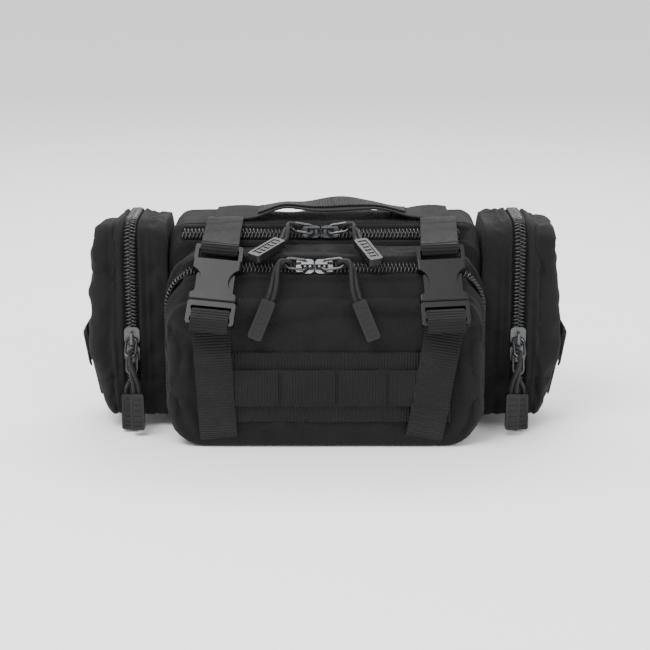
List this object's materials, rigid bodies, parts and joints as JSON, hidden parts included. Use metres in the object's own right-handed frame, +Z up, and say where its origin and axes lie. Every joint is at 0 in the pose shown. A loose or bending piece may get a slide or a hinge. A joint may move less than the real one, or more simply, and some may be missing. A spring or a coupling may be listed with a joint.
{
  "type": "modular waist pack",
  "caption": "Rectangular fabric pack with a zipped main compartment, front pocket and end pockets, webbing panels, buckled straps and a top carry handle.",
  "frame": {"origin": "on the underside of the main compartment, on the centreline, where the pack stands", "axes": "+X to the viewer's right along the pack's width, -Y out of the front, +Z up"},
  "size_m": [0.336, 0.134, 0.1527],
  "materials": {
    "nylon_fabric": "woven nylon, dull sheen",
    "webbing": "ribbed nylon webbing",
    "zip_coil": "nylon coil on woven tape",
    "buckle_plastic": "satin moulded acetal",
    "slider_metal": "gunmetal enamel",
    "ring_metal": "glossy black enamel",
    "pull_cord": "braided cord",
    "pull_tab": "glossy moulded rubber"
  },
  "bodies": {
    "pack": {"back_panel": "nylon_fabric", "main_gusset": "nylon_fabric", "main_front_panel": "nylon_fabric", "front_gusset": "nylon_fabric", "front_panel": "nylon_fabric", "handle_ends": "nylon_fabric", "back_webbing": "webbing", "front_webbing": "webbing", "upper_straps": "webbing", "main_zip_chain": "zip_coil", "front_zip_chain": "zip_coil", "left_pocket_gusset": "nylon_fabric", "left_pocket_panel": "nylon_fabric", "left_pocket_zip_chain": "zip_coil", "left_pocket_webbing": "webbing", "left_lower_strap": "webbing", "left_buckle_receptacle": "buckle_plastic", "right_pocket_gusset": "nylon_fabric", "right_pocket_panel": "nylon_fabric", "right_pocket_zip_chain": "zip_coil", "right_pocket_webbing": "webbing", "right_lower_strap": "webbing", "right_buckle_receptacle": "buckle_plastic", "left_pocket_lower_slider": "slider_metal", "right_pocket_lower_slider": "slider_metal"},
    "handle": {"carry_handle": "nylon_fabric"},
    "left_plug": {"left_buckle_plug": "buckle_plastic", "left_strap_loop": "webbing"},
    "right_plug": {"right_buckle_plug": "buckle_plastic", "right_strap_loop": "webbing"},
    "main_left_slider": {"main_left_slider": "slider_metal"},
    "main_left_pull": {"main_left_ring": "ring_metal", "main_left_cord": "pull_cord", "main_left_tab": "pull_tab"},
    "main_right_slider": {"main_right_slider": "slider_metal"},
    "main_right_pull": {"main_right_ring": "ring_metal", "main_right_cord": "pull_cord", "main_right_tab": "pull_tab"},
    "front_left_slider": {"front_left_slider": "slider_metal"},
    "front_left_pull": {"front_left_ring": "ring_metal", "front_left_cord": "pull_cord", "front_left_tab": "pull_tab"},
    "front_right_slider": {"front_right_slider": "slider_metal"},
    "front_right_pull": {"front_right_ring": "ring_metal", "front_right_cord": "pull_cord", "front_right_tab": "pull_tab"},
    "left_pocket_upper_slider": {"left_pocket_upper_slider": "slider_metal"},
    "left_pocket_upper_pull": {"left_pocket_upper_ring": "ring_metal", "left_pocket_upper_cord": "pull_cord", "left_pocket_upper_tab": "pull_tab"},
    "left_pocket_lower_pull": {"left_pocket_lower_ring": "ring_metal", "left_pocket_lower_cord": "pull_cord", "left_pocket_lower_tab": "pull_tab"},
    "right_pocket_upper_slider": {"right_pocket_upper_slider": "slider_metal"},
    "right_pocket_upper_pull": {"right_pocket_upper_ring": "ring_metal", "right_pocket_upper_cord": "pull_cord", "right_pocket_upper_tab": "pull_tab"},
    "right_pocket_lower_pull": {"right_pocket_lower_ring": "ring_metal", "right_pocket_lower_cord": "pull_cord", "right_pocket_lower_tab": "pull_tab"}
  },
  "joints": [
    {"name": "handle_lift", "type": "slide", "parent": "pack", "child": "handle", "axis": [0, 0, 1], "range_m": [0, 0.02]},
    {"name": "left_buckle_release", "type": "slide", "parent": "pack", "child": "left_plug", "axis": [-0.1045, -0.6041, -0.79], "range_m": [0, 0.03]},
    {"name": "right_buckle_release", "type": "slide", "parent": "pack", "child": "right_plug", "axis": [0.0523, -0.6066, -0.7933], "range_m": [0, 0.03]},
    {"name": "main_left_zip", "type": "slide", "parent": "pack", "child": "main_left_slider", "axis": [-1, 0, 0], "range_m": [0, 0.004]},
    {"name": "main_left_pull_swing", "type": "hinge", "parent": "main_left_slider", "child": "main_left_pull", "pos_m": [-0.0077, -0.00624, 0.13956], "axis": [0, 0.7526, 0.6585], "range_deg": [0, 80]},
    {"name": "main_right_zip", "type": "slide", "parent": "pack", "child": "main_right_slider", "axis": [1, 0, 0], "range_m": [0, 0.022]},
    {"name": "main_right_pull_swing", "type": "hinge", "parent": "main_right_slider", "child": "main_right_pull", "pos_m": [0.0017, -0.00624, 0.13956], "axis": [0, -0.7526, -0.6585], "range_deg": [0, 60]},
    {"name": "front_left_zip", "type": "slide", "parent": "pack", "child": "front_left_slider", "axis": [-1, 0, 0], "range_m": [0, 0.003]},
    {"name": "front_left_pull_swing", "type": "hinge", "parent": "front_left_slider", "child": "front_left_pull", "pos_m": [-0.0117, -0.042, 0.12252], "axis": [0, 0.6075, 0.7944], "range_deg": [0, 80]},
    {"name": "front_right_zip", "type": "slide", "parent": "pack", "child": "front_right_slider", "axis": [1, 0, 0], "range_m": [0, 0.006]},
    {"name": "front_right_pull_swing", "type": "hinge", "parent": "front_right_slider", "child": "front_right_pull", "pos_m": [-0.0023, -0.042, 0.12252], "axis": [0, -0.6075, -0.7944], "range_deg": [0, 80]},
    {"name": "left_pocket_upper_zip", "type": "slide", "parent": "pack", "child": "left_pocket_upper_slider", "axis": [0, 0, 1], "range_m": [0, 0.05]},
    {"name": "left_pocket_upper_pull_swing", "type": "hinge", "parent": "left_pocket_upper_slider", "child": "left_pocket_upper_pull", "pos_m": [-0.133, -0.0194, 0.0662], "axis": [-1, 0, 0], "range_deg": [0, 80]},
    {"name": "left_pocket_lower_pull_swing", "type": "hinge", "parent": "pack", "child": "left_pocket_lower_pull", "pos_m": [-0.133, -0.0194, 0.0568], "axis": [-1, 0, 0], "range_deg": [0, 5]},
    {"name": "right_pocket_upper_zip", "type": "slide", "parent": "pack", "child": "right_pocket_upper_slider", "axis": [0, 0, 1], "range_m": [0, 0.05]},
    {"name": "right_pocket_upper_pull_swing", "type": "hinge", "parent": "right_pocket_upper_slider", "child": "right_pocket_upper_pull", "pos_m": [0.133, -0.0194, 0.0662], "axis": [-1, 0, 0], "range_deg": [0, 80]},
    {"name": "right_pocket_lower_pull_swing", "type": "hinge", "parent": "pack", "child": "right_pocket_lower_pull", "pos_m": [0.133, -0.0194, 0.0568], "axis": [-1, 0, 0], "range_deg": [0, 5]}
  ]
}
